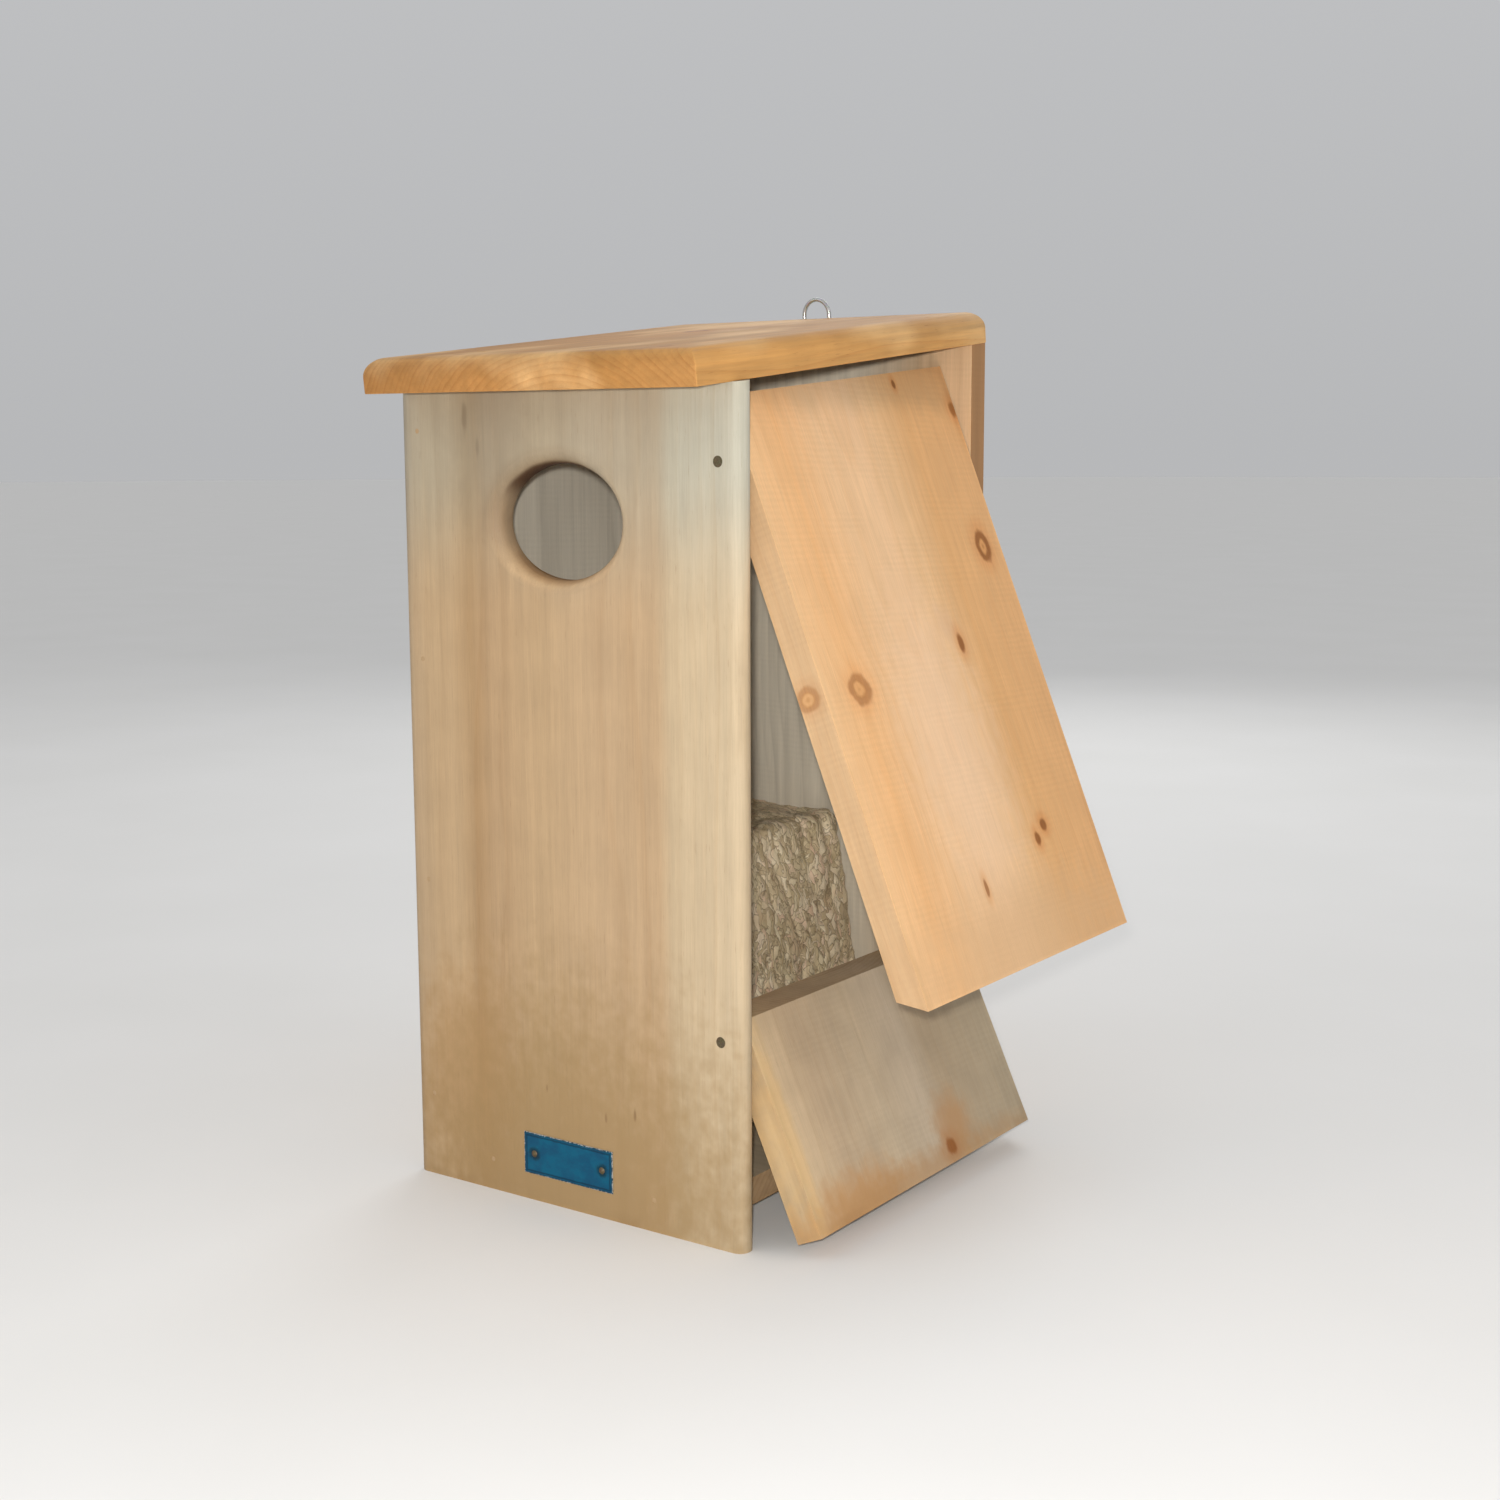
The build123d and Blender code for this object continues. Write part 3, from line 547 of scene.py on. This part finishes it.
def shavings_look():
    """Curled shavings pressed against a thin clear film: chips in every direction, with painted shade in the
    gaps between them.
    """
    g = Graph("shavings_in_film")
    place, _ = object_mm(g)
    drift = g.noise(g.times(place, (0.08, 0.08, 0.08)), 2.0, tinted=True)
    warp = g.vector("SUBTRACT", drift, (0.5, 0.5, 0.5)).outputs[0]
    warped = g.vector("ADD", place, g.times(warp, (16, 16, 16))).outputs[0]
    x, y, z = g.split(warped)
    base, height = None, None
    # each layer of chips: its turn, chips per millimetre along and over, and a shift of its own
    layers = ((0.5, (0.062, 0.19), 0.0), (-0.7, (0.075, 0.22), 31.0), (1.5, (0.10, 0.26), 77.0))
    for turn, (long, wide), shift in layers:
        along = g.math("ADD", g.math("MULTIPLY", y, math.cos(turn)), g.math("MULTIPLY", z, math.sin(turn)))
        along = g.math("ADD", along, g.math("MULTIPLY", x, 0.6))
        over = g.math("SUBTRACT", g.math("MULTIPLY", z, math.cos(turn)),
                      g.math("MULTIPLY", y, math.sin(turn)))
        spot = g.join(g.math("ADD", g.math("MULTIPLY", along, long), shift), g.math("MULTIPLY", over, wide),
                      g.math("MULTIPLY", x, 0.12))
        chip = g.cells(spot)
        edge = g.cells(spot, "DISTANCE_TO_EDGE").outputs["Distance"]
        pick = g.split(chip.outputs["Color"])
        tone = g.ramp(pick[0], [(0.0, colour(176, 156, 122)), (0.3, colour(206, 186, 150)),
                                (0.55, colour(224, 206, 172)), (0.8, colour(240, 226, 198)),
                                (1.0, colour(218, 184, 156))])
        grain = g.noise(g.times(spot, (3.0, 16.0, 3.0)), 3.0, 0.6)
        tone = g.mix(g.remap(grain, 0.3, 0.7, 0.0, 0.30), tone, colour(182, 160, 124))
        # dark at each chip's edge: painted shade in the gaps between chips
        tone = g.mix(g.remap(edge, 0.0, 0.08, 0.75, 0.0), tone, colour(112, 92, 66))
        lift = g.math("ADD", g.math("MULTIPLY", pick[1], 0.8),
                      g.math("MULTIPLY", g.remap(edge, 0.0, 0.16), 0.55))
        if base is None:
            base, height = tone, lift
        else:
            over_it = g.remap(pick[2], 0.42, 0.46)
            base = g.mix(over_it, base, tone)
            height = g.math("ADD", g.math("MULTIPLY", height, g.math("SUBTRACT", 1.0, over_it)),
                            g.math("MULTIPLY", g.math("ADD", lift, 0.3), over_it))
    blot = g.noise(g.times(place, (0.045, 0.045, 0.045)), 3.0, 0.55)
    base = g.mix(g.remap(blot, 0.42, 0.62, 0.0, 0.4), base, g.tint(base, (0.72, 0.74, 0.62)))
    rosy = g.remap(g.noise(g.times(place, (0.06, 0.06, 0.06)), 2.0), 0.60, 0.70)
    base = g.mix(g.math("MULTIPLY", rosy, 0.35), base, g.tint(base, (1.0, 0.82, 0.78)))
    dust = g.noise(g.times(place, (0.9, 0.9, 0.9)), 4.0, 0.65)
    base = g.mix(g.remap(dust, 0.35, 0.7, 0.0, 0.3), base, colour(206, 190, 158))
    # lighter towards the bottom: painted light on the lower part of the bag
    painted_light_low = g.remap(g.split(place)[2], 60.0, 190.0, 0.85, 0.0)
    base = g.mix(painted_light_low, base, g.tint(base, (1.4, 1.4, 1.42)))
    crease = g.noise(g.times(place, (0.05, 0.05, 0.028)), 4.0, 0.6, 1.2)
    g.bump(g.math("ADD", g.math("MULTIPLY", height, 0.75), g.math("MULTIPLY", dust, 0.25)), 0.65)
    g.shader.inputs["Coat Weight"].default_value = 0.28
    g.shader.inputs["Coat Roughness"].default_value = 0.28
    return g.finish(base, g.remap(crease, 0.3, 0.7, 0.5, 0.8, "LINEAR"), level=0.4)


def floor_look():
    g = Graph("studio_floor")
    place, _ = object_mm(g)
    cloud = g.noise(g.times(place, (0.004, 0.004, 0.004)), 3.0)
    base = g.mix(cloud, colour(226, 225, 222), colour(232, 231, 229))
    return g.finish(base, g.remap(cloud, 0.3, 0.7, 0.7, 0.8, "LINEAR"), level=0.3)


# ---------------------------------------------------------------- pieces

def dress(name, material):
    mesh = nodes[name].data
    mesh.materials.clear()
    mesh.materials.append(material)


def soften(name, width):
    """Rounds a board's sharp arrises by a hair, as sanding does."""
    obj = nodes[name]
    weld = obj.modifiers.new("weld", "WELD")
    weld.merge_threshold = 1e-6
    bevel = obj.modifiers.new("arris", "BEVEL")
    bevel.width = width
    bevel.segments = 2
    bevel.limit_method = "ANGLE"
    bevel.angle_limit = math.radians(40)
    bevel.miter_outer = "MITER_ARC"
    bevel.harden_normals = True


def make_bag():
    """The filled bag: the CAD block remeshed, slumped and crumpled, then given chip relief."""
    source = nodes["shavings_bag"]
    mesh = source.data.copy()
    bag = bpy.data.objects.new("shavings_bag_filled", mesh)
    bpy.context.scene.collection.objects.link(bag)
    mesh.materials.clear()
    for kind, settings in (("WELD", {"merge_threshold": 1e-6}),
                           ("REMESH", {"mode": "VOXEL", "voxel_size": BAG_VOXEL}),
                           ("SMOOTH", {"iterations": 1}),
                           ("SUBSURF", {"levels": 1, "render_levels": 1})):
        modifier = bag.modifiers.new(kind.lower(), kind)
        for key, value in settings.items():
            setattr(modifier, key, value)
    graph = bpy.context.evaluated_depsgraph_get()
    solid = bpy.data.meshes.new_from_object(bag.evaluated_get(graph))
    bag.modifiers.clear()
    bag.data = solid
    count = len(solid.vertices)
    points = np.empty(count * 3)
    solid.vertices.foreach_get("co", points)
    points = points.reshape(-1, 3)
    normals = np.empty(count * 3)
    solid.vertices.foreach_get("normal", normals)
    normals = normals.reshape(-1, 3)
    low, high = points.min(0), points.max(0)
    moved = points.copy()
    for i in range(count):
        p = Vector(points[i]) * 1000
        share = (points[i, 2] - low[2]) / (high[2] - low[2])
        lumps = noise.fractal(p * 0.014, 1.0, 2.0, 2, noise_basis="PERLIN_ORIGINAL")
        folds = 1 - abs(noise.noise(Vector((p.x * 0.022, p.y * 0.022, p.z * 0.009)) + Vector((4, 1, 7))))
        creases = 1 - abs(noise.noise(p * 0.045 + Vector((9, 3, 2))))
        chips = noise.fractal(p * 0.16, 1.0, 2.0, 2, noise_basis="PERLIN_ORIGINAL")
        dip = BAG_LUMP * lumps - BAG_FOLD * folds ** 6 - BAG_CREASE * creases ** 8 + BAG_CHIP * chips
        dip = dip + 0.6 + 1.2 * math.sin(math.pi * share)
        reach = 1.0 if normals[i, 2] > -0.5 else 0.15
        moved[i] += normals[i] * min(dip, BAG_REACH) * 0.001 * reach
        if share > 0.80:
            sway = 0.5 + 0.5 * math.sin(p.x * 0.075 + p.y * 0.05)
            moved[i, 2] -= BAG_SLUMP * sway * (share - 0.8) / 0.2
    moved[:, 2] = np.maximum(moved[:, 2], low[2])
    solid.vertices.foreach_set("co", moved.ravel())
    for polygon in solid.polygons:
        polygon.use_smooth = True
    solid.update()
    solid.materials.clear()
    solid.materials.append(shavings_look())
    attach(bag, "box")
    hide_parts("shavings_bag")


def make_floor():
    mesh = bpy.data.meshes.new("studio_floor")
    turns = np.linspace(0, 2 * math.pi, 65)[:-1]
    rim = [(FLOOR_RADIUS * math.cos(a), FLOOR_RADIUS * math.sin(a), 0.0) for a in turns]
    mesh.from_pydata(rim, [], [tuple(range(len(rim)))])
    mesh.materials.append(floor_look())
    floor = bpy.data.objects.new("studio_floor", mesh)
    bpy.context.scene.collection.objects.link(floor)


make_light(*make_camera())
make_floor()

dress("front_panel", wood(
    "front_panel", "xyz",
    # tones rise from left to right and are palest near the right edge: painted light, brighter on the nearer
    # side and along the right arris, over the board's own colour
    tones=[(-142, (206, 182, 154)), (-122, (218, 190, 156)), (-100, (216, 188, 154)), (-80, (202, 170, 132)),
           (-62, (208, 178, 144)), (-20, (214, 186, 152)), (30, (216, 188, 156)), (76, (214, 186, 154)),
           (88, (224, 204, 176)), (142, (230, 212, 186))],
    ring=(0.80, 0.68, 0.54), pith=(-8.0, 210.0), spacing=5.2, contrast=0.26, wander=5.0,
    seed=1.0, streaky=0.7, blotch=0.035,
    # the patches centred at (-95, 78.5) and (0, 18.5) are painted shade, darker towards the bottom and lower
    # left; the small ones are real marks
    stains_and_painted_light=[(-82.5, 536, 3.0, 12.0, (120, 92, 62), 0.6), (-71.4, 516.1, 2.2, 9.0, (124, 98, 70), 0.55),
            (-60, 518.5, 46, 70, (150, 124, 94), 0.35), (-95, 78.5, 60, 90, (168, 124, 74), 0.40),
            (0, 18.5, 210, 170, (150, 122, 80), 0.75),
            (55.8, 77.8, 1.7, 5.0, (118, 88, 56), 0.6), (31.0, 71, 1.5, 4.0, (122, 92, 60), 0.55),
            (-20.4, 82.5, 1.3, 3.5, (126, 98, 66), 0.5)],
    # top strip of the front: painted shade under the roof, with some weathered greying
    roof_shade_and_greying=(400, 515, (0.82, 1.0, 1.24), 0.95), inner=(1.0, (190, 180, 160), 0.8), inner_half=134.0,
    gain=(0.66, 0.62, 0.54),
    hole=ENTRANCE))
dress("roof_board", wood(
    "roof_board", "xzy", slope=ROOF_SLOPE,
    tones=[(-136, (214, 164, 104)), (-40, (222, 172, 112)), (60, (214, 166, 104)), (136, (224, 176, 116))],
    ring=(0.74, 0.56, 0.38), pith=(30.0, 470.0), spacing=4.0, contrast=0.42, wander=8.0, seed=2.0,
    knots=[(96, -20, 4.5, 1.3, 0.55, False), (-66, -30, 4.0, 1.2, 0.45, False),
           (-20, 170, 8.0, 1.3, 0.8, True)],
    patch=(232, 190, 132), speck=0.7, gain=(0.70, 0.62, 0.46), end=(0.78, 0.72, 0.68), end_rings=0.14,
    streaky=1.1, blotch=0.05))
dress("upper_side_door", wood(
    "upper_side_door", "yxz", angle=UPPER_DOOR_OPEN, pivot=pivots["upper_door"],
    tones=[(9, (224, 186, 142)), (50, (224, 178, 128)), (95, (224, 187, 146)), (140, (227, 191, 152)),
           (178, (222, 184, 140)), (215, (216, 170, 118)), (292, (218, 172, 122))],
    ring=(0.84, 0.66, 0.44), pith=(130.0, -60.0), spacing=4.6, contrast=0.24, wander=9.0,
    seed=3.0, streaky=0.45, blotch=0.03,
    knots=[(49.8, 350.3, 11.0, 0.85, 0.62, True), (267.0, 435.8, 8.6, 1.25, 0.95, True),
           (191.4, 368.7, 4.6, 1.7, 1.0, False), (220.2, 234.1, 5.6, 0.9, 1.0, False),
           (207.1, 226.1, 4.2, 1.4, 1.0, False), (120.9, 206.2, 2.6, 2.6, 0.8, False),
           (216.7, 558.6, 2.8, 1.4, 1.0, False), (289.2, 540.8, 5.2, 1.3, 0.8, False)],
    edge_knots=[(123.4, 351.6, 8.0, 0.9, 0.5, True)],
    stains_and_painted_light=[(140, 298.5, 70, 130, (232, 200, 170), 0.3), (180, 383.5, 14, 18, (208, 168, 132), 0.4),
            (150, 158.5, 190, 60, (206, 166, 122), 0.65)],
    # top strip of the door: painted shade under the roof, with a little greying
    roof_shade_and_greying=(530, 552, (0.62, 0.68, 0.72), 0.6), inner=(-1.0, (186, 172, 148), 0.7), saw=1.0,
    gain=(1.0, 0.95, 0.88), edge=(0.70, 0.73, 0.78), end=(1.25, 1.12, 0.9)))
dress("lower_side_door", wood(
    "lower_side_door", "yxz", angle=LOWER_DOOR_OPEN, pivot=pivots["lower_door"],
    # greyer, darker tones over most of the board: partly painted shadow of the upper door over the board's
    # own colour; the pale first tone at the front edge is painted light
    tones=[(9, (214, 182, 140)), (30, (204, 174, 138)), (60, (190, 162, 130)), (120, (192, 168, 138)),
           (165, (192, 170, 144)), (200, (178, 154, 124)), (292, (176, 156, 128))],
    ring=(0.82, 0.72, 0.58), pith=(140.0, -90.0), spacing=3.2, contrast=0.26, wander=4.0,
    seed=4.0, streaky=0.45, blotch=0.06,
    knots=[(184.0, 11.5, 7.2, 1.0, 1.0, False)],
    # the orange patches along the bottom and the pale strip at the front edge are painted light, where the
    # upper door's shadow does not fall
    stains_and_painted_light=[(60, 6.5, 76, 30, (180, 132, 78), 0.7), (196, 23.5, 30, 30, (176, 128, 76), 0.6),
            (120, 2.5, 220, 18, (168, 126, 78), 0.55), (14, 71.5, 10, 90, (214, 176, 120), 0.5)],
    inner=(-1.0, (180, 168, 146), 0.7), saw=0.7, speck=0.6, gain=(0.9, 0.95, 0.98), edge=(0.72, 0.72, 0.74),
    end=(1.05, 0.98, 0.9)))
body = dict(ring=(0.82, 0.71, 0.57), contrast=0.42)
dress("back_panel", wood(
    "back_panel", "xyz", pith=(30.0, 420.0), spacing=4.8, wander=7.0, seed=5.0,
    tones=[(-130, (204, 176, 140)), (-30, (212, 184, 146)), (70, (206, 176, 138)), (130, (214, 184, 146))],
    knots=[(-62, 190, 9.0, 1.1, 0.8, True), (58, 402, 6.0, 1.3, 0.8, False)],
    inner=(-1.0, (204, 196, 178), 0.9), inner_fade=(30, 105, 1.0, 0.2), saw=0.8, edge=(0.57, 0.46, 0.36),
    gain=(0.86, 0.78, 0.68), **body))
dress("left_side_panel", wood(
    "left_side_panel", "yxz", pith=(150.0, 60.0), spacing=4.6, wander=8.0, seed=6.0,
    tones=[(8, (210, 178, 138)), (120, (216, 186, 148)), (220, (206, 174, 134)), (294, (212, 182, 144))],
    knots=[(86, 236, 9.0, 1.1, 0.85, True), (214, 452, 7.0, 1.2, 0.8, True),
           (170, 120, 3.6, 1.7, 0.8, False)],
    inner=(1.0, (200, 195, 180), 0.9), saw=0.8, **body))
dress("floor_board", wood(
    "floor_board", "yzx", pith=(150.0, -70.0), spacing=4.2, wander=6.0, seed=7.0,
    tones=[(8, (190, 164, 130)), (150, (200, 174, 138)), (294, (192, 164, 128))],
    inner=(1.0, (170, 160, 140), 0.6), **body))

looks = {
    steel("nail_weathered", (128, 116, 92), (86, 74, 56), (78, 54, 32), 0.5, 0.55): (
        "upper_pivot_nail_front", "upper_pivot_nail_rear", "lower_pivot_nail_front",
        "lower_pivot_nail_rear", "label_pins"),
    steel("nail_galvanised", (168, 158, 140), (140, 128, 108), (110, 84, 58), 0.12, 0.5): (
        "back_side_nails", "back_floor_nails", "side_floor_nails", "roof_front_nails",
        "roof_side_nails", "roof_back_nails"),
    steel("wire_galvanised", (196, 196, 194), (150, 150, 148), (112, 88, 66), 0.10, 0.42): (
        "ladder_mesh", "ladder_staples"),
    steel("hanger_zinc", (206, 206, 204), (160, 160, 158), (120, 96, 72), 0.08, 0.36): (
        "hanger_strap", "hanger_ring", "hanger_screws"),
    putty_look(): ("front_side_nails", "front_floor_nails"),
    label_paint(): ("label_plate",),
}
for material, names in looks.items():
    for name in names:
        dress(name, material)

arrises = {"front_panel": 0.0008, "upper_side_door": 0.0009, "lower_side_door": 0.0009,
           "back_panel": 0.0009, "left_side_panel": 0.0009, "floor_board": 0.0006,
           "roof_board": 0.0008}
for name, width in arrises.items():
    soften(name, width)
make_bag()
